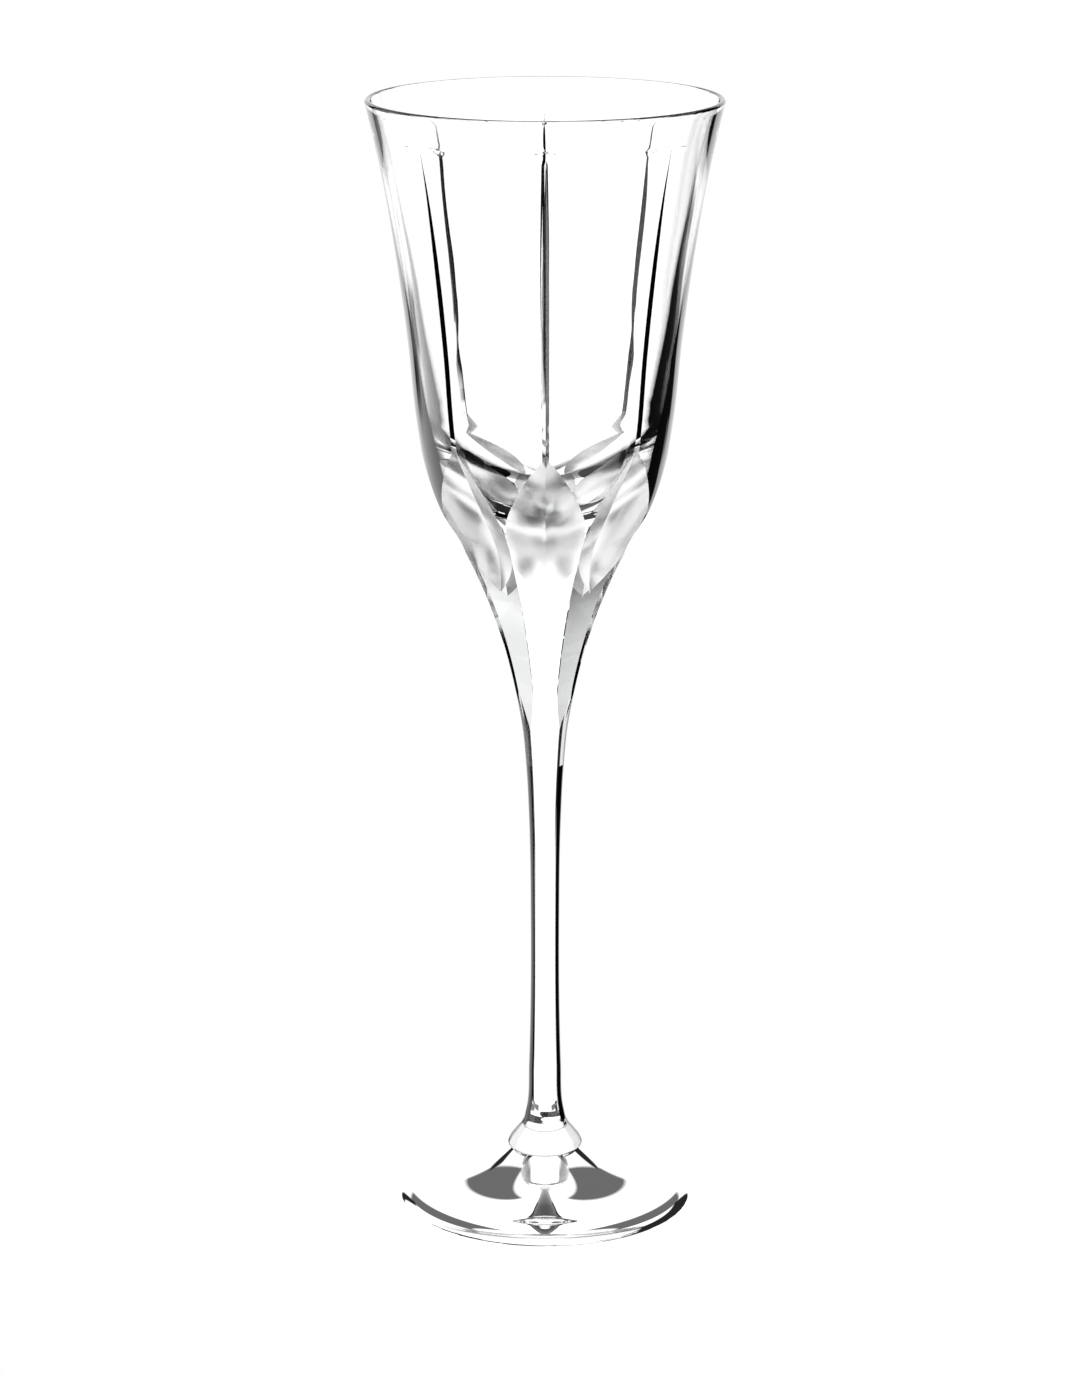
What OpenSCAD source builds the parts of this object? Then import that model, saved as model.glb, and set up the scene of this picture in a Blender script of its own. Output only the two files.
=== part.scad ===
// Champagne flute in cut crystal: a flared bowl, a long stem, a small button and a round foot.
// Millimetres, +Z up. The origin is the centre of the plane that the foot rests on.

/* [Overall] */
// Height from the table to the rim
height = 225; // [220:1:230]
// Outer diameter of the bowl at the rim
rim_d = 69.8; // [68:0.2:71]
// Outer diameter of the foot
foot_d = 59.6; // [57:0.2:64]

/* [Bowl] */
// Outer diameter of the bowl at its belly, before it is cut
belly_d = 50.7; // [50:0.1:51.4]
// Height of the belly above the table
belly_z = 163; // [162:0.5:164]
// Thickness of the wall half way up the bowl
wall = 2.4; // [2.1:0.1:2.6]
// Thickness of the wall at the rim
lip = 1.2; // [1:0.1:1.5]
// Height of the lowest point of the inside
cavity_floor_z = 141; // [139.5:0.5:142.5]

/* [Stem] */
// Diameter of the stem at its waist
stem_d = 5.8; // [5:0.1:6.6]
// Height of the joint between the bowl and the stem
bowl_joint_z = 128; // [126:0.5:130]
// Height of the joint between the stem and the button
stem_joint_z = 16.5; // [16:0.5:18]

/* [Button and foot] */
// Diameter of the button that joins the stem to the foot
button_d = 15.2; // [14:0.2:17]
// Height of the joint between the button and the foot
foot_joint_z = 10.4; // [10:0.1:10.8]
// Thickness of the foot where its edge begins to round off
edge_t = 3.1; // [2.6:0.1:3.4]
// Width of the rounded edge of the foot
edge_w = 5.4; // [4:0.2:6]
// Width of the flat ring that the foot rests on
ring_w = 2.4; // [1.6:0.2:4]
// Height of the hollow under the foot at its centre
hollow_h = 1.3; // [0.6:0.1:1.6]
// Diameter of the polished dimple under the centre of the foot
dimple_d = 11; // [8:0.5:13]

/* [Cutting] */
// Number of mitre lines, leaves and panels round the bowl
cuts = 8; // [8:1:9]
// Height at which each mitre line starts below the rim
mitre_top_z = 218.5; // [214:0.5:220]
// Depth of a mitre line
mitre_depth = 0.85; // [0.4:0.05:1]
// Slope of the two faces of a mitre line, in degrees from the wall
mitre_slope = 52; // [40:1:60]
// Slope of the two faces of a leaf, in degrees from the wall
leaf_slope = 22; // [20:0.5:24]
// Radius of the wheel that hollows the panels
panel_wheel_r = 119; // [118:0.5:121]

/* [Hidden] */
$fn = 128;

// Colours of the clear crystal
crystal = [0.90, 0.94, 0.95, 0.45];
crystal_deep = [0.80, 0.87, 0.89, 0.55];

// Heights that the outlines are drawn through
mitre_end_z = 154;
mitre_fade_h = 32;
wall_start_z = 164;

// Stations [height, radius] of the glass before it is cut, from the button to the rim
body = [
    [stem_joint_z, stem_d / 2 + 1.35],
    [19.5, stem_d / 2 + 0.75],
    [28, stem_d / 2 + 0.38],
    [42, stem_d / 2 + 0.05],
    [60, stem_d / 2],
    [80, stem_d / 2 + 0.3],
    [92, stem_d / 2 + 0.92],
    [100, 4.62],
    [110, 6.95],
    [120, 10],
    [130, 14.1],
    [138, 18.2],
    [146, 21.9],
    [154, 23.9],
    [belly_z, belly_d / 2],
    [178, 26.85],
    [195, 29.1],
    [210, 31.6],
    [height, rim_d / 2]
];

// Stations [height, thickness] of the wall above the solid bottom of the bowl
walls = [
    [wall_start_z, wall + 0.1],
    [176, wall - 0.15],
    [190, wall],
    [200, wall - 0.1],
    [214, wall - 0.4],
    [height, lip]
];

// Gradient of a list of stations between station i and the next one
function gradient(s, i) = (s[i + 1][1] - s[i][1]) / (s[i + 1][0] - s[i][0]);

// Gradient of the smooth curve at station i
function slope_at(s, i) =
    i == 0 ? gradient(s, 0)
    : i == len(s) - 1 ? gradient(s, i - 1)
    : let (before = s[i][0] - s[i - 1][0], after = s[i + 1][0] - s[i][0])
      (gradient(s, i - 1) * after + gradient(s, i) * before) / (before + after);

// Index of the span of stations that holds height z
function span_of(s, z, i = 0) = i >= len(s) - 2 || z < s[i + 1][0] ? i : span_of(s, z, i + 1);

// Value at height z of the smooth curve through a list of stations
function smooth(s, z) =
    let (i = span_of(s, z), h = s[i + 1][0] - s[i][0], t = (z - s[i][0]) / h)
    s[i][1] * (1 + 2 * t) * (1 - t) ^ 2 + slope_at(s, i) * h * t * (1 - t) ^ 2
    + s[i + 1][1] * t ^ 2 * (3 - 2 * t) - slope_at(s, i + 1) * h * t ^ 2 * (1 - t);

// Heights from a to b in n equal steps
function steps(a, b, n) = [for (i = [0:n]) a + (b - a) * i / n];

// Points of an arc in the plane of an outline, centre [r, z], from angle a to angle b
function arc(centre, radius, a, b, n = 6) =
    [for (q = steps(a, b, n)) centre + radius * [cos(q), sin(q)]];

// Radius of the uncut glass and of the inside of the bowl at height z
function outer_r(z) = smooth(body, z);
function inner_r(z) = outer_r(z) - smooth(walls, z);

// The inside: a pointed bottom, and the wall's thickness in from the outside above it
cavity_h = wall_start_z - cavity_floor_z;
function cavity_r(down) = inner_r(wall_start_z) * max(0, 1 - down ^ 1.9) ^ 0.82;
inside = concat(
    [for (t = steps(0, 1, 14)) [cavity_r(1 - t ^ 2), cavity_floor_z + cavity_h * t ^ 2]],
    [for (z = steps(wall_start_z + 3, height - lip / 2, 14)) [inner_r(z), z]]
);

// Mitre line: depth of its floor below the surface, which fades in under its top
function mitre_fade(z) = min(1, max(0, (mitre_top_z - z) / mitre_fade_h));
function mitre_floor(z) = outer_r(z) - mitre_depth * (mitre_fade(z) * (2 - mitre_fade(z))) ^ 1.2;

// Leaf: its floor is a straight line up the bowl's base, run out at the bottom by a small arc
leaf_gradient = 0.55;
leaf_floor_r = 14.7;
leaf_run_z = 141;
leaf_run_r = 20;
leaf_top_z = 163;
leaf_tilt = atan(leaf_gradient);
leaf_centre = [leaf_floor_r + leaf_run_r * cos(leaf_tilt), leaf_run_z - leaf_run_r * sin(leaf_tilt)];
leaf_line = concat(
    arc(leaf_centre, leaf_run_r, 205, 180 - leaf_tilt, 8),
    [[leaf_floor_r + leaf_gradient * (leaf_top_z - leaf_run_z), leaf_top_z]]
);
mitre_line = [for (z = steps(mitre_end_z, mitre_top_z, 12)) [mitre_floor(z), z]];

// Panels: the wheel's axle lies across each panel, outside the stem
panel_wheel_z = 84.7;
panel_wheel_x = 3.6 + panel_wheel_r;
cut_reach = 50;

// Half of a V cut: everything outside a floor line [radius, height], turned to the face's slope
module cut_side(floor_line, slope) {
    first = floor_line[0];
    last = floor_line[len(floor_line) - 1];
    outline = concat(
        [for (p = floor_line) [p[0] * cos(slope), p[1]]],
        [[cut_reach, last[1]], [cut_reach, first[1]]]
    );
    rotate([90, 0, -slope])
        linear_extrude(height = 2 * cut_reach, center = true)
            polygon(outline);
}

// V cut along a floor line, with both faces at the same slope
module v_cut(floor_line, slope) {
    intersection() {
        cut_side(floor_line, slope);
        cut_side(floor_line, -slope);
    }
}

// Hollow panel: the bite of a flat-edged wheel
module panel_cut() {
    translate([panel_wheel_x, 0, panel_wheel_z])
        rotate([90, 0, 0])
            cylinder(r = panel_wheel_r, h = cut_reach, center = true, $fn = 720);
}

// The same cut repeated round the glass
module round_the_glass() {
    for (i = [0:cuts - 1])
        rotate([0, 0, i * 360 / cuts])
            children();
}

// Blown bowl with its solid, cut base
module bowl() {
    lip_centre = [rim_d / 2 - lip / 2, height - lip / 2];
    outside = [for (z = steps(height - lip / 2, bowl_joint_z, 34)) [outer_r(z), z]];
    color(crystal)
        difference() {
            rotate_extrude()
                polygon(concat(
                    inside,
                    arc(lip_centre, lip / 2, 150, 30, 4),
                    outside,
                    [[0, bowl_joint_z]]
                ));
            round_the_glass() panel_cut();
            round_the_glass() v_cut(leaf_line, leaf_slope);
            round_the_glass() v_cut(mitre_line, mitre_slope);
        }
}

// Stem, with the panels running out down its upper part
module stem() {
    outside = [for (z = steps(bowl_joint_z, stem_joint_z, 40)) [outer_r(z), z]];
    color(crystal_deep)
        difference() {
            rotate_extrude()
                polygon(concat([[0, bowl_joint_z]], outside, [[0, stem_joint_z]]));
            round_the_glass() panel_cut();
        }
}

// Button: a small knob that flares out below the stem and rounds in to the foot
module button() {
    r = button_d / 2;
    outline = [
        [foot_joint_z, r - 0.8],
        [foot_joint_z + 0.4, r - 0.22],
        [foot_joint_z + 1, r],
        [foot_joint_z + 1.7, r - 0.28],
        [foot_joint_z + 3.3, r - 1.45],
        [foot_joint_z + 4.9, r - 2.7],
        [stem_joint_z, outer_r(stem_joint_z)]
    ];
    color(crystal_deep)
        rotate_extrude()
            polygon(concat(
                [[0, foot_joint_z]],
                [for (z = steps(foot_joint_z, stem_joint_z, 18)) [smooth(outline, z), z]],
                [[0, stem_joint_z]]
            ));
}

// Foot: a thin disc with a softly rounded edge that rises to the button, hollow underneath
module foot() {
    foot_r = foot_d / 2;
    top_r = button_d / 2 - 0.8;
    shoulder_r = foot_r - edge_w;
    edge_z = 0.75;
    corner = 0.8;
    ring_r = foot_r - corner - ring_w;
    dimple_r = dimple_d / 2;
    color(crystal)
        rotate_extrude()
            polygon(concat(
                [[0, foot_joint_z]],
                [for (t = steps(0, 1, 14))
                    [top_r + (shoulder_r - top_r) * t, edge_t + (foot_joint_z - edge_t) * (1 - t) ^ 2.1]],
                [for (q = steps(12, 90, 6))
                    [shoulder_r + edge_w * sin(q), edge_z + (edge_t - edge_z) * cos(q)]],
                [for (q = steps(30, 90, 2)) [foot_r - corner * (1 - cos(q)), edge_z * (1 - sin(q))]],
                [for (t = steps(0, 1, 6))
                    [ring_r - (ring_r - dimple_r) * t, hollow_h * sin(90 * t)]],
                [for (t = steps(0.2, 1, 4)) [dimple_r * (1 - t), hollow_h + 0.9 * t * (2 - t)]]
            ));
}

bowl();
stem();
button();
foot();
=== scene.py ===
import math

import bpy
import numpy as np
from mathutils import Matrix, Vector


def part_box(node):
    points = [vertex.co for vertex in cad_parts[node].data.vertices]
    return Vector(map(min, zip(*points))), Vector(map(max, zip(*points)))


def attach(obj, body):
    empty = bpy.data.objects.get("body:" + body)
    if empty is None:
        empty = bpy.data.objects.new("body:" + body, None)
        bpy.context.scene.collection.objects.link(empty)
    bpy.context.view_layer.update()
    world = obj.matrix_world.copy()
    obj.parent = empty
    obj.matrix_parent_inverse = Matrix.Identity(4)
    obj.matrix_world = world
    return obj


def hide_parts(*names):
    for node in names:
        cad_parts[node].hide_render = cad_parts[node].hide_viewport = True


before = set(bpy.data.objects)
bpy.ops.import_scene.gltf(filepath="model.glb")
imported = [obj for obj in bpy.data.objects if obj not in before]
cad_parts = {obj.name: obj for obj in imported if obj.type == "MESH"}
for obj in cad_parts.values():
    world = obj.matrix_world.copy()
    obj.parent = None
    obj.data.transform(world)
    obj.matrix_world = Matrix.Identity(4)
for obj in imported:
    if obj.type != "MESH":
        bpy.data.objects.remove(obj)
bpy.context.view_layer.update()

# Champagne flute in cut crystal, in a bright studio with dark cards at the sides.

MM = 0.001

# ---------------------------------------------------------------- sizes taken from the frame, in mm


def corners(node):
    """Lowest and highest corner of a node's box, in mm."""
    low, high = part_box(node)
    return [v / MM for v in low], [v / MM for v in high]


STEM_LOW, STEM_HIGH = corners("stem")
FOOT_HIGH = corners("foot")[1]
HEIGHT = corners("bowl")[1][2]
BOWL_JOINT = STEM_HIGH[2]
STEM_JOINT = STEM_LOW[2]
FOOT_JOINT = FOOT_HIGH[2]
FOOT_R = FOOT_HIGH[0]
BUTTON_R = corners("button")[1][0]

# ---------------------------------------------------------------- the glass before it is cut, in mm
RIM_R = 34.9
STEM_R = 2.9
BODY = [
    (STEM_JOINT, STEM_R + 1.35),
    (19.5, STEM_R + 0.75),
    (28, STEM_R + 0.38),
    (42, STEM_R + 0.05),
    (60, STEM_R),
    (80, STEM_R + 0.3),
    (92, STEM_R + 0.92),
    (100, 4.62),
    (110, 6.95),
    (120, 10.0),
    (130, 14.1),
    (138, 18.2),
    (146, 21.9),
    (154, 23.9),
    (163, 25.35),
    (178, 26.85),
    (195, 29.1),
    (210, 31.6),
    (HEIGHT, RIM_R),
]
LIP = 1.2

# The wall has a thickness above WALL_START. Below it the inside narrows to a point.
WALL_START = 164
WALLS = [(WALL_START, 2.5), (176, 2.25), (190, 2.4), (200, 2.3), (214, 2.0), (HEIGHT, LIP)]
CAVITY_FLOOR = 141
CAVITY_POWER = 1.9
CAVITY_ROUNDING = 0.82

# ---------------------------------------------------------------- the cuts, in mm and degrees
CUTS = 8
HALF = math.pi / CUTS
MITRE_TOP = 218.5
MITRE_END = 154
MITRE_FADE = 32
MITRE_DEPTH = 0.85
MITRE_CURVE = 1.2
MITRE_K = math.tan(math.radians(52))
LEAF_K = math.tan(math.radians(22))
LEAF_GRADIENT = 0.55
LEAF_FLOOR_R = 14.7
LEAF_RUN_Z = 141
LEAF_RUN_R = 20
PANEL_R = 119
PANEL_Z = 84.7
PANEL_X = 3.6 + PANEL_R

# A distance outside the glass, for a cut that doesn't reach this height
FAR = 1e3

# ---------------------------------------------------------------- button and foot, in mm
BUTTON_LINE = [
    (0, BUTTON_R - 0.8),
    (0.4, BUTTON_R - 0.22),
    (1.0, BUTTON_R),
    (1.7, BUTTON_R - 0.28),
    (3.3, BUTTON_R - 1.45),
    (4.9, BUTTON_R - 2.7),
]
FOOT_TOP_R = BUTTON_R - 0.8
FOOT_SWEEP = 2.1
SHOULDER_R = 24.4
SHOULDER_Z = 3.1
EDGE_Z = 0.75
EDGE_CORNER = 0.8
RING_W = 2.4
HOLLOW = 1.3
DIMPLE_R = 5.5
DIMPLE_DEPTH = 0.9

# ---------------------------------------------------------------- mesh density
# Columns over half a repeat: in the mitre line, then the leaf, the panel and the round glass
SHARES = (2, 3, 3, 6)
REPEAT = 2 * sum(SHARES)
COLUMNS = CUTS * REPEAT

# The least width of a group of columns, and the angle between faces that stays sharp
SLIVER = math.radians(0.12)
SHARP_EDGE = math.radians(9)

# Spans of heights (from, to, step) of the outside and the inside
STEM_SPANS = [(STEM_JOINT, 30, 0.5), (30, 90, 1.0), (90, BOWL_JOINT, 0.5)]
LIP_START = HEIGHT - LIP / 2
BOWL_SPANS = [(BOWL_JOINT, 132, 0.5), (132, 162, 0.2), (162, 219, 0.6), (219, LIP_START, 0.6)]
WALL_SPAN = (LIP_START, WALL_START, 1.0)
BUTTON_SPAN = (FOOT_JOINT, STEM_JOINT, 0.12)
LIP_STEPS = 12
CAVITY_STEPS = 90
FOOT_TOP_STEPS = 40
SHOULDER_STEPS = 24
# Bands of the foot's shoulder that get the painted shade of its edge
FOOT_EDGE_SHADE_BANDS = range(8, 14)
CORNER_STEPS = 10
HOLLOW_STEPS = 30
DIMPLE_STEPS = 12

# Heights between which the columns spread from the edges of the cuts to even spacing
SPREAD_LOW = (68, 88)
SPREAD_HIGH = (164, 204)
SPREAD_RIM = (MITRE_TOP, MITRE_TOP + 5)


def smooth(stations, z):
    """Smooth curve through stations (height, value), at heights z."""
    z = np.asarray(z, float)
    x = np.array([s[0] for s in stations], float)
    y = np.array([s[1] for s in stations], float)
    h = np.diff(x)
    g = np.diff(y) / h
    slope = np.empty_like(x)
    slope[0], slope[-1] = g[0], g[-1]
    slope[1:-1] = (g[:-1] * h[1:] + g[1:] * h[:-1]) / (h[1:] + h[:-1])
    i = np.clip(np.searchsorted(x, z, side="right") - 1, 0, len(h) - 1)
    t = (z - x[i]) / h[i]
    return (
        y[i] * (1 + 2 * t) * (1 - t) ** 2
        + slope[i] * h[i] * t * (1 - t) ** 2
        + y[i + 1] * t**2 * (3 - 2 * t)
        - slope[i + 1] * h[i] * t**2 * (1 - t)
    )


def body_r(z):
    """Radius of the glass before it is cut."""
    return float(smooth(BODY, z))


def inner_r(z):
    """Radius of the inside of the bowl: a pointed bottom, then the wall's thickness in."""
    if z >= WALL_START:
        return body_r(z) - float(smooth(WALLS, z))
    down = (WALL_START - z) / (WALL_START - CAVITY_FLOOR)
    return inner_r(WALL_START) * max(0.0, 1 - down**CAVITY_POWER) ** CAVITY_ROUNDING


def panel_x(z):
    """Distance of the hollow panel's floor from the axis."""
    return PANEL_X - math.sqrt(max(0.0, PANEL_R**2 - (z - PANEL_Z) ** 2))


def leaf_floor(z):
    """Distance of the leaf's floor from the axis: a line up the bowl, run out by a small arc."""
    tilt = math.atan(LEAF_GRADIENT)
    centre_r = LEAF_FLOOR_R + LEAF_RUN_R * math.cos(tilt)
    centre_z = LEAF_RUN_Z - LEAF_RUN_R * math.sin(tilt)
    if z >= LEAF_RUN_Z:
        return LEAF_FLOOR_R + LEAF_GRADIENT * (z - LEAF_RUN_Z)
    off = abs(z - centre_z)
    if off >= LEAF_RUN_R:
        return FAR
    return centre_r - math.sqrt(LEAF_RUN_R**2 - off**2)


def mitre_floor(z):
    """Distance of the mitre line's floor from the axis, or FAR beyond its ends."""
    if not MITRE_END <= z <= MITRE_TOP:
        return FAR
    fade = min(1.0, (MITRE_TOP - z) / MITRE_FADE)
    return body_r(z) - MITRE_DEPTH * (fade * (2 - fade)) ** MITRE_CURVE


def v_radius(angle, floor, k):
    """Radius of a V cut's face at an angle from its centre."""
    return floor / np.maximum(np.cos(angle) - k * np.sin(angle), 1e-3)


def cut_radius(angle, z):
    """Radius of the cut glass at angles from the centre of a cut, at height z."""
    r = np.minimum(body_r(z), panel_x(z) / np.cos(angle))
    r = np.minimum(r, v_radius(angle, leaf_floor(z), LEAF_K))
    return np.minimum(r, v_radius(angle, mitre_floor(z), MITRE_K))


def v_meets_round(floor, k, r):
    """Angle at which a V cut's face meets the round glass."""
    reach = floor / (r * math.hypot(1, k))
    return math.acos(min(1.0, reach)) - math.atan(k) if reach < 1 else 0.0


def edges_at(z):
    """Angles from the centre of a cut to the edges of the mitre line, the leaf and the panel."""
    body, panel = body_r(z), panel_x(z)
    leaf, mitre = leaf_floor(z), mitre_floor(z)
    panel_edge = math.acos(min(1.0, panel / body))
    leaf_edge = 0.0
    if leaf < min(body, panel):
        leaf_edge = v_meets_round(leaf, LEAF_K, body)
        if panel < body:
            leaf_edge = min(leaf_edge, math.atan((1 - leaf / panel) / LEAF_K))
    mitre_edge = 0.0
    if mitre < min(body, panel, leaf):
        mitre_edge = v_meets_round(mitre, MITRE_K, body)
        if leaf < min(body, panel):
            crossing = (leaf - mitre) / (leaf * MITRE_K - mitre * LEAF_K)
            mitre_edge = min(mitre_edge, math.atan(crossing))
    return mitre_edge, leaf_edge, panel_edge


def ease(x):
    """Smooth step from 0 to 1."""
    x = min(1.0, max(0.0, x))
    return x * x * (3 - 2 * x)


def share(z, span):
    """How far z is through a span of heights, eased, from 0 to 1."""
    return ease((z - span[0]) / (span[1] - span[0]))


def half_angles(z):
    """Angles of the mesh columns over half a repeat, with columns on every edge of a cut."""
    mitre, leaf, panel = edges_at(z)
    even = [HALF * sum(SHARES[: i + 1]) / sum(SHARES) for i in range(3)]
    spread_down = ease((SPREAD_LOW[1] - z) / (SPREAD_LOW[1] - SPREAD_LOW[0]))

    # Where there is neither a mitre line nor a leaf, their columns spread together
    leaf_span = SPREAD_RIM if mitre == leaf else SPREAD_HIGH
    spans = (SPREAD_RIM, leaf_span, SPREAD_HIGH)
    marks = []
    for mark, level, span in zip((mitre, leaf, panel), even, spans):
        spread = max(spread_down, share(z, span))
        marks.append(mark + (level - mark) * spread if mark < level else mark)
    last = 0.0
    room = HALF - SLIVER * 3
    for i in range(3):
        marks[i] = min(max(marks[i], last + SLIVER), room + SLIVER * i)
        last = marks[i]
    angles = [0.0]
    for start, end, count in zip([0.0] + marks, marks + [HALF], SHARES):
        angles += [start + (end - start) * (i + 1) / count for i in range(count)]
    return np.array(angles)


def ring(z, radius_of):
    """Ring of points round the glass at height z; radius_of gives the radii over half a repeat."""
    half = half_angles(z)
    radii = radius_of(half)
    there, back = np.arange(len(half) - 1), np.arange(len(half) - 1, 0, -1)
    order = np.concatenate([there, back])
    turn = np.concatenate([half[there], 2 * HALF - half[back]])
    angles = np.concatenate([turn + 2 * HALF * i for i in range(CUTS)])
    r = np.tile(np.asarray(radii)[order], CUTS)
    return np.column_stack([r * np.cos(angles), r * np.sin(angles), np.full(len(r), z)]) * MM


def cut_ring(z):
    """Ring on the cut surface."""
    return ring(z, lambda angle: cut_radius(angle, z))


def round_ring(z, r):
    """Ring of one radius with the columns of the cut surface."""
    return ring(z, lambda angle: np.full(len(angle), r))


def even_ring(z, r):
    """Ring of one radius with evenly spaced columns."""
    angle = np.arange(COLUMNS) * 2 * math.pi / COLUMNS
    return np.column_stack([r * np.cos(angle), r * np.sin(angle), np.full(COLUMNS, z)]) * MM


def pole(z):
    """Ring of a single point on the axis."""
    return [(0, 0, z * MM)]


def shell(name, rings, materials, zones):
    """Closed mesh through rings of points; zones has each band's material, by number or column."""
    points = []
    faces = []
    slots = []
    start = []
    for r in rings:
        start.append(len(points))
        points.extend(map(tuple, r))
    for i in range(len(rings) - 1):
        a, b = start[i], start[i + 1]
        count_a, count_b = len(rings[i]), len(rings[i + 1])
        n = max(count_a, count_b)
        for j in range(n):
            k = (j + 1) % n
            if count_a == 1:
                face = (a, b + k, b + j)
            elif count_b == 1:
                face = (a + j, a + k, b)
            else:
                face = (a + j, a + k, b + k, b + j)
            faces.append(face)
            zone = zones[i]
            slots.append(zone(j) if callable(zone) else zone)
    mesh = bpy.data.meshes.new(name)
    mesh.from_pydata(points, [], faces)
    for material in materials:
        mesh.materials.append(material)
    mesh.polygons.foreach_set("material_index", slots)
    mesh.polygons.foreach_set("use_smooth", [True] * len(faces))
    mesh.set_sharp_from_angle(angle=SHARP_EDGE)
    mesh.update()
    piece = bpy.data.objects.new(name, mesh)
    bpy.context.collection.objects.link(piece)
    return piece


def in_leaf(column):
    """True where a mesh column runs through a leaf."""
    sector = column % REPEAT
    place = min(sector, REPEAT - 1 - sector)
    return place < SHARES[0] + SHARES[1]


def outside_zone(z):
    """Material of the bowl's outside at height z: satin on the leaves, clear everywhere else."""
    around = SOLID if z < SOLID_TOP else BLOWN
    if leaf_floor(z) < min(body_r(z), panel_x(z)):
        return lambda column: CUT if in_leaf(column) else around
    return around


def heights(*spans):
    """Heights through several spans (from, to, step), without doubles where they meet."""
    found = []
    for a, b, step in spans:
        count = max(1, round(abs(b - a) / step))
        found += [a + (b - a) * i / count for i in range(count)]
    return found + [spans[-1][1]]


# ---------------------------------------------------------------- materials
IOR = 1.545
CLEAR = (1.0, 1.0, 1.0)
SOLID_TINT = (0.99, 1.0, 1.0)
# Painted shade: dark glass colour for a band round the foot's edge, where it turns away
EDGE_PAINTED_SHADE = (0.3, 0.31, 0.31)
# Painted shade: dark glass colour for the top of the lip, where it turns away
LIP_PAINTED_SHADE = (0.12, 0.12, 0.12)
QUIET_GLOSS = 0.1
LEAF_HAZE = 0.3

# Faint marks of handling: their size in mm, the noise they show between, and their roughness
MARK_SIZE = 4
MARK_NOISE = (0.55, 0.8)
MARK_HAZE = 0.015

# The bowl's sides carry painted shade: where the glass colour darkens (facing value, depth)
# at the upper of two heights. SIDE_SHIFT is added to the facing value at the lower one.
# SIDE_SCALE keeps the sum within the ramp.
SIDE_HEIGHTS = (158, 214)
SIDE_SHIFT = 0.40
SIDE_SCALE = 0.7
SIDE_SHADE_STOPS = [(0.84, 0.0), (0.93, 1.0)]

# Painted shade at the edges of the other pieces: (angle of incidence in degrees, depth of the
# painted shade)
PANEL_SHADE_STOPS = [(44, 0), (50, 0.45), (66, 0.45), (74, 1)]
DRAWN_SHADE_STOPS = [(44, 0), (50, 1)]
FOOT_SHADE_STOPS = [(75, 0), (81, 1)]


def new_material(name):
    """New node material, with its nodes, its links and its shader."""
    material = bpy.data.materials.new(name)
    material.use_nodes = True
    nodes = material.node_tree.nodes
    return material, nodes, material.node_tree.links, nodes["Principled BSDF"]


def crystal(name, colour, ripple, ripple_size, haze=0.0):
    """Clear crystal with faint ripples (height and size in mm) and a haze that varies slightly."""
    material, nodes, links, shader = new_material(name)
    shader.inputs["Base Color"].default_value = (*colour, 1)
    shader.inputs["Transmission Weight"].default_value = 1.0
    shader.inputs["IOR"].default_value = IOR
    place = nodes.new("ShaderNodeTexCoord")
    waves = nodes.new("ShaderNodeTexNoise")
    waves.inputs["Scale"].default_value = 1 / (ripple_size * MM)
    waves.inputs["Detail"].default_value = 1.0
    bump = nodes.new("ShaderNodeBump")
    bump.inputs["Strength"].default_value = 1.0
    bump.inputs["Distance"].default_value = ripple * MM
    marks = nodes.new("ShaderNodeTexNoise")
    marks.inputs["Scale"].default_value = 1 / (MARK_SIZE * MM)
    marks.inputs["Detail"].default_value = 3.0
    spread = nodes.new("ShaderNodeMapRange")
    spread.inputs["From Min"].default_value = MARK_NOISE[0]
    spread.inputs["From Max"].default_value = MARK_NOISE[1]
    spread.inputs["To Min"].default_value = haze
    spread.inputs["To Max"].default_value = haze + MARK_HAZE
    links.new(place.outputs["Object"], waves.inputs["Vector"])
    links.new(place.outputs["Object"], marks.inputs["Vector"])
    links.new(waves.outputs["Fac"], bump.inputs["Height"])
    links.new(marks.outputs["Fac"], spread.inputs["Value"])
    links.new(spread.outputs["Result"], shader.inputs["Roughness"])
    links.new(bump.outputs["Normal"], shader.inputs["Normal"])
    return material


def quieten(material):
    """Take most of the gloss off a glass."""
    shader = material.node_tree.nodes["Principled BSDF"]
    shader.inputs["Specular IOR Level"].default_value = QUIET_GLOSS


def slant_at(degrees):
    """Facing value of the Layer Weight node at an angle of incidence."""
    return 1 - math.cos(math.radians(degrees))


def painted_shade_ramp(material, stops, scale=1.0):
    """Ramp of painted shade on the glass colour, through stops (facing value, depth). A depth of 1
    is black.
    """
    nodes, links = material.node_tree.nodes, material.node_tree.links
    shader = nodes["Principled BSDF"]
    ramp = nodes.new("ShaderNodeValToRGB")
    elements = ramp.color_ramp.elements
    clear = tuple(shader.inputs["Base Color"].default_value)
    for at, depth in stops:
        element = elements.new(at * scale)
        element.color = (*(c * (1 - depth) for c in clear[:3]), 1)
    elements.remove(elements[0])
    elements.remove(elements[len(elements) - 1])
    links.new(ramp.outputs["Color"], shader.inputs["Base Color"])
    return ramp


def slant_node(nodes):
    """Layer Weight node whose Facing output is 1 minus the cosine of the angle of incidence."""
    slant = nodes.new("ShaderNodeLayerWeight")
    slant.inputs["Blend"].default_value = 0.5
    return slant


def paint_slant_shade(material, stops):
    """Painted shade: darker glass colour where it is seen at a slant, through stops (angle in
    degrees, depth).
    """
    nodes, links = material.node_tree.nodes, material.node_tree.links
    slant = slant_node(nodes)
    ramp = painted_shade_ramp(material, [(slant_at(angle), depth) for angle, depth in stops])
    links.new(slant.outputs["Facing"], ramp.inputs["Fac"])


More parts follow.
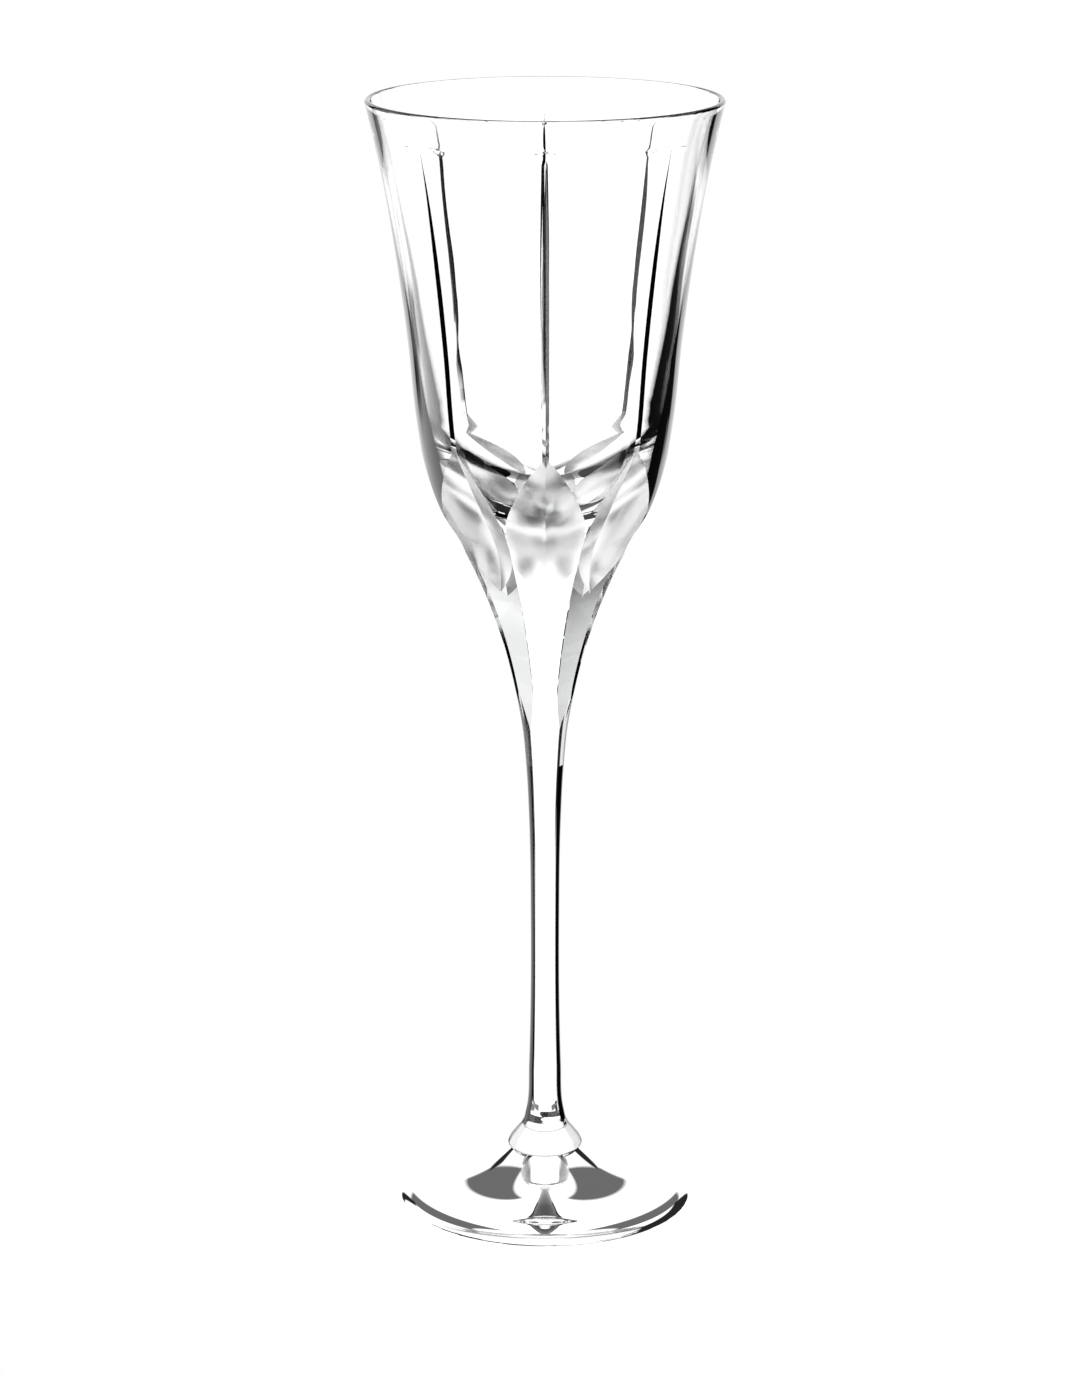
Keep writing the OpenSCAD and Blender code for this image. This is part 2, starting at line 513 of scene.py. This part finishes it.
def paint_side_shade(material):
    """Painted shade at the sides, by slant and height: a thin dark band near the rim, broad at the
    base where the glass is thicker.
    """
    nodes, links = material.node_tree.nodes, material.node_tree.links
    slant = slant_node(nodes)
    place = nodes.new("ShaderNodeTexCoord")
    split = nodes.new("ShaderNodeSeparateXYZ")
    shade_by_height = nodes.new("ShaderNodeMapRange")
    shade_by_height.inputs["From Min"].default_value = SIDE_HEIGHTS[0] * MM
    shade_by_height.inputs["From Max"].default_value = SIDE_HEIGHTS[1] * MM
    shade_by_height.inputs["To Min"].default_value = SIDE_SHIFT
    shade_by_height.inputs["To Max"].default_value = 0.0
    level = nodes.new("ShaderNodeMath")
    level.operation = "ADD"
    scaled = nodes.new("ShaderNodeMath")
    scaled.operation = "MULTIPLY"
    scaled.inputs[1].default_value = SIDE_SCALE
    ramp = painted_shade_ramp(material, SIDE_SHADE_STOPS, SIDE_SCALE)
    links.new(place.outputs["Object"], split.inputs["Vector"])
    links.new(split.outputs["Z"], shade_by_height.inputs["Value"])
    links.new(slant.outputs["Facing"], level.inputs[0])
    links.new(shade_by_height.outputs["Result"], level.inputs[1])
    links.new(level.outputs["Value"], scaled.inputs[0])
    links.new(scaled.outputs["Value"], ramp.inputs["Fac"])


def fused_joint():
    """The face where two gathers were fused hot: light passes straight through."""
    material, nodes, links, shader = new_material("fused_joint")
    clear = nodes.new("ShaderNodeBsdfTransparent")
    clear.inputs["Color"].default_value = (0.99, 0.995, 0.995, 1)
    nodes.remove(shader)
    links.new(clear.outputs["BSDF"], nodes["Material Output"].inputs["Surface"])
    return material


# ---------------------------------------------------------------- pieces
# Places of the materials on the bowl
BLOWN, CUT, BOWL_JOINED, SOLID, LIP_TOP = range(5)
SOLID_TOP = 138
LIP_SIDE = LIP_STEPS // 3

# Places of the materials on the stem; it is panelled above PANEL_END
DRAWN, PANELLED, STEM_JOINED = range(3)
PANEL_END = 92

# Places of the materials on the button and the foot
PLAIN, JOINED, EDGE = range(3)


def make_bowl(materials):
    outside = heights(*BOWL_SPANS)
    rings = [pole(BOWL_JOINT)] + [cut_ring(z) for z in outside]
    zones = [BOWL_JOINED] + [outside_zone(z) for z in outside[:-1]]

    lip_r = LIP / 2
    edge_out, edge_in = body_r(LIP_START), inner_r(LIP_START)
    middle, half_w = (edge_out + edge_in) / 2, (edge_out - edge_in) / 2
    for i in range(1, LIP_STEPS):
        turn = math.pi * i / LIP_STEPS
        z = LIP_START + lip_r * math.sin(turn)
        rings.append(round_ring(z, middle + half_w * math.cos(turn)))
    # The top third of the lip gets dull dark glass, a painted shade
    zones += [BLOWN] * LIP_SIDE + [LIP_TOP] * LIP_SIDE

    rings += [round_ring(z, inner_r(z)) for z in heights(WALL_SPAN)]
    for i in range(1, CAVITY_STEPS):
        down = (1 - i / CAVITY_STEPS) ** 2
        z = CAVITY_FLOOR + (WALL_START - CAVITY_FLOOR) * down
        rings.append(round_ring(z, inner_r(z)))
    rings.append(pole(CAVITY_FLOOR))
    zones += [BLOWN] * (len(rings) - 1 - len(zones))
    return shell("bowl_crystal", rings, materials, zones)


def make_stem(materials):
    levels = heights(*STEM_SPANS)
    rings = [pole(STEM_JOINT)] + [cut_ring(z) for z in levels] + [pole(BOWL_JOINT)]
    sides = [DRAWN if z < PANEL_END else PANELLED for z in levels[:-1]]
    return shell("stem_crystal", rings, materials, [STEM_JOINED] + sides + [STEM_JOINED])


def turned(name, outline, materials, zones):
    """Piece turned about the axis from an outline of (radius, height), pole to pole."""
    rings = [pole(z) if r == 0 else even_ring(z, r) for r, z in outline]
    return shell(name, rings, materials, zones)


def make_button(materials):
    line = [(FOOT_JOINT + up, r) for up, r in BUTTON_LINE] + [(STEM_JOINT, body_r(STEM_JOINT))]
    sides = [(float(smooth(line, z)), z) for z in heights(BUTTON_SPAN)]
    outline = [(0, FOOT_JOINT)] + sides + [(0, STEM_JOINT)]
    zones = [JOINED] + [PLAIN] * (len(sides) - 1) + [JOINED]
    return turned("button_crystal", outline, materials, zones)


def make_foot(materials):
    outline = [(0, FOOT_JOINT)]
    for i in range(FOOT_TOP_STEPS + 1):
        t = i / FOOT_TOP_STEPS
        rise = (FOOT_JOINT - SHOULDER_Z) * (1 - t) ** FOOT_SWEEP
        outline.append((FOOT_TOP_R + (SHOULDER_R - FOOT_TOP_R) * t, SHOULDER_Z + rise))
    shoulder = len(outline) - 1
    for i in range(1, SHOULDER_STEPS + 1):
        turn = math.pi / 2 * i / SHOULDER_STEPS
        r = SHOULDER_R + (FOOT_R - SHOULDER_R) * math.sin(turn)
        outline.append((r, EDGE_Z + (SHOULDER_Z - EDGE_Z) * math.cos(turn)))
    for i in range(1, CORNER_STEPS + 1):
        turn = math.pi / 2 * i / CORNER_STEPS
        r = FOOT_R - EDGE_CORNER * (1 - math.cos(turn))
        outline.append((r, EDGE_Z * (1 - math.sin(turn))))
    inner = FOOT_R - EDGE_CORNER - RING_W
    for i in range(HOLLOW_STEPS + 1):
        t = i / HOLLOW_STEPS
        outline.append((inner - (inner - DIMPLE_R) * t, HOLLOW * math.sin(math.pi / 2 * t)))
    for i in range(1, DIMPLE_STEPS + 1):
        t = i / DIMPLE_STEPS
        outline.append((DIMPLE_R * (1 - t), HOLLOW + DIMPLE_DEPTH * t * (2 - t)))

    zones = [JOINED] + [PLAIN] * (len(outline) - 2)
    # Painted shade: a band of dull dark glass round the foot's edge
    for band in FOOT_EDGE_SHADE_BANDS:
        zones[shoulder + band] = EDGE
    return turned("foot_crystal", outline, materials, zones)


blown = crystal("blown_crystal", CLEAR, 0.0015, 9)
cut = crystal("cut_crystal", CLEAR, 0.001, 4, LEAF_HAZE)
solid = crystal("solid_crystal", SOLID_TINT, 0.001, 12)
drawn = crystal("drawn_crystal", SOLID_TINT, 0.001, 12)
foot_glass = crystal("foot_crystal", SOLID_TINT, 0.001, 12)
# Dull dark glass with painted shade, for the foot's edge band
edge_shade_glass = crystal("foot_edge_painted_shade", EDGE_PAINTED_SHADE, 0.001, 12)
# Dull dark glass with painted shade, for the top of the lip
lip_shade_glass = crystal("lip_top_painted_shade", LIP_PAINTED_SHADE, 0.001, 9)
joint = fused_joint()
# Painted shade on the bowl's sides, darker where the glass is seen at a slant
paint_side_shade(blown)
# Painted shade on the edges of the bowl's solid base, the stem, the button and the foot, where they
# are seen at a slant
paint_slant_shade(solid, PANEL_SHADE_STOPS)
paint_slant_shade(drawn, DRAWN_SHADE_STOPS)
paint_slant_shade(foot_glass, FOOT_SHADE_STOPS)
# The glass with painted shade on the foot's edge and on the lip loses most of its gloss
quieten(edge_shade_glass)
quieten(lip_shade_glass)

for piece, node, slot in (
    (make_bowl([blown, cut, joint, solid, lip_shade_glass]), "bowl", "blown_crystal"),
    (make_stem([drawn, solid, joint]), "stem", "solid_crystal"),
    (make_button([solid, joint]), "button", "solid_crystal"),
    (make_foot([foot_glass, joint, edge_shade_glass]), "foot", "solid_crystal"),
):
    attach(piece, "root")
    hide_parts(node)

# ---------------------------------------------------------------- studio
FLOOR_SIZE = 3.0
WHITE = 1.3
DARK = 0.02

# Dark cards: (from, to, low, high, depth). The first two are azimuths from +Y towards +X, the
# next two are elevations, all in degrees. A depth of 1 is as dark as DARK.
CARDS = [
    (18, 75, 24, 62, 0.9),
    (-75, -18, 24, 62, 0.9),
    (32, 105, -17, 30, 1),
    (-41, -30, -15, 30, 1),
    (36, 105, -90, -14, 1),
    (-120, -75, -90, -15, 1),
    (165, 240, -90, 30, 1),
]

# Width of a card's soft edge, in degrees
SOFT = 3.0

# The cards that start above the horizon are slanted: their elevation less SLANT times the
# azimuth stays within SLANT_BAND.
SLANT = 0.87
SLANT_BAND = (-3, 60)

# Camera: distance and height in metres, angles in degrees
CAMERA_DISTANCE = 0.8138
CAMERA_HEIGHT = 0.3276
CAMERA_DOWN = 15.12
CAMERA_TURN = -0.3
CAMERA_LENS = 110.8


def make_floor():
    """Pale floor, evenly lit from within so that no shadow falls on it, and unseen by the glass."""
    mesh = bpy.data.meshes.new("floor")
    square = [(-1, -1), (1, -1), (1, 1), (-1, 1)]
    points = [(x * FLOOR_SIZE, y * FLOOR_SIZE, 0) for x, y in square]
    mesh.from_pydata(points, [], [(0, 1, 2, 3)])
    floor = bpy.data.objects.new("floor", mesh)
    bpy.context.collection.objects.link(floor)
    material, nodes, links, shader = new_material("floor_white")
    glow = nodes.new("ShaderNodeEmission")
    nodes.remove(shader)
    links.new(glow.outputs["Emission"], nodes["Material Output"].inputs["Surface"])
    mesh.materials.append(material)
    floor.visible_transmission = False
    floor.visible_glossy = False


def make_world():
    """White studio with dark cards at the sides; seen directly, the background is plain white."""
    world = bpy.data.worlds.new("studio")
    bpy.context.scene.world = world
    world.use_nodes = True
    nodes, links = world.node_tree.nodes, world.node_tree.links
    nodes.clear()

    def maths(operation, a, b=None, c=None, clamp=False):
        """Output of a Math node whose inputs are numbers or sockets."""
        node = nodes.new("ShaderNodeMath")
        node.operation = operation
        node.use_clamp = clamp
        for socket, value in zip(node.inputs, (a, b, c)):
            if value is None:
                continue
            if isinstance(value, (int, float)):
                socket.default_value = value
            else:
                links.new(value, socket)
        return node.outputs[0]

    def band(value, low, high):
        """1 between low and high, with soft edges."""
        middle, half = (low + high) / 2, (high - low) / 2
        off = maths("ABSOLUTE", maths("SUBTRACT", value, middle))
        return maths("MULTIPLY_ADD", off, -1 / SOFT, half / SOFT + 0.5, clamp=True)

    place = nodes.new("ShaderNodeTexCoord")
    split = nodes.new("ShaderNodeSeparateXYZ")
    links.new(place.outputs["Generated"], split.inputs["Vector"])
    x, y, z = split.outputs
    azimuth = maths("DEGREES", maths("ARCTAN2", x, y))
    elevation = maths("DEGREES", maths("ARCSINE", z))
    slanted = maths("MULTIPLY_ADD", maths("ABSOLUTE", azimuth), -SLANT, elevation)
    shade = None
    for start, end, low, high, depth in CARDS:
        card = maths("MULTIPLY", band(azimuth, start, end), band(elevation, low, high))
        if end > 180:
            across = band(azimuth, start - 360, end - 360)
            again = maths("MULTIPLY", across, band(elevation, low, high))
            card = maths("MAXIMUM", card, again)
        card = maths("MULTIPLY", card, depth)
        if low > 0:
            card = maths("MULTIPLY", card, band(slanted, *SLANT_BAND))
        shade = card if shade is None else maths("MAXIMUM", shade, card)
    level = maths("MULTIPLY_ADD", shade, DARK - WHITE, WHITE)
    path = nodes.new("ShaderNodeLightPath")
    mix = nodes.new("ShaderNodeMix")
    links.new(path.outputs["Is Camera Ray"], mix.inputs["Factor"])
    links.new(level, mix.inputs["A"])
    mix.inputs["B"].default_value = 1.0
    light = nodes.new("ShaderNodeBackground")
    light.inputs["Color"].default_value = (1, 1, 1, 1)
    links.new(mix.outputs["Result"], light.inputs["Strength"])
    out = nodes.new("ShaderNodeOutputWorld")
    links.new(light.outputs["Background"], out.inputs["Surface"])


def make_camera():
    """Camera a little above the rim, looking down at the whole glass."""
    data = bpy.data.cameras.new("camera")
    data.lens = CAMERA_LENS
    camera = bpy.data.objects.new("camera", data)
    bpy.context.collection.objects.link(camera)
    turn = math.radians(CAMERA_TURN)
    across = CAMERA_DISTANCE * math.sin(turn)
    back = -CAMERA_DISTANCE * math.cos(turn)
    camera.location = (across, back, CAMERA_HEIGHT)
    camera.rotation_euler = (math.radians(90 - CAMERA_DOWN), 0, turn)
    bpy.context.scene.camera = camera


make_floor()
make_world()
make_camera()
bpy.context.scene.view_settings.view_transform = "Standard"
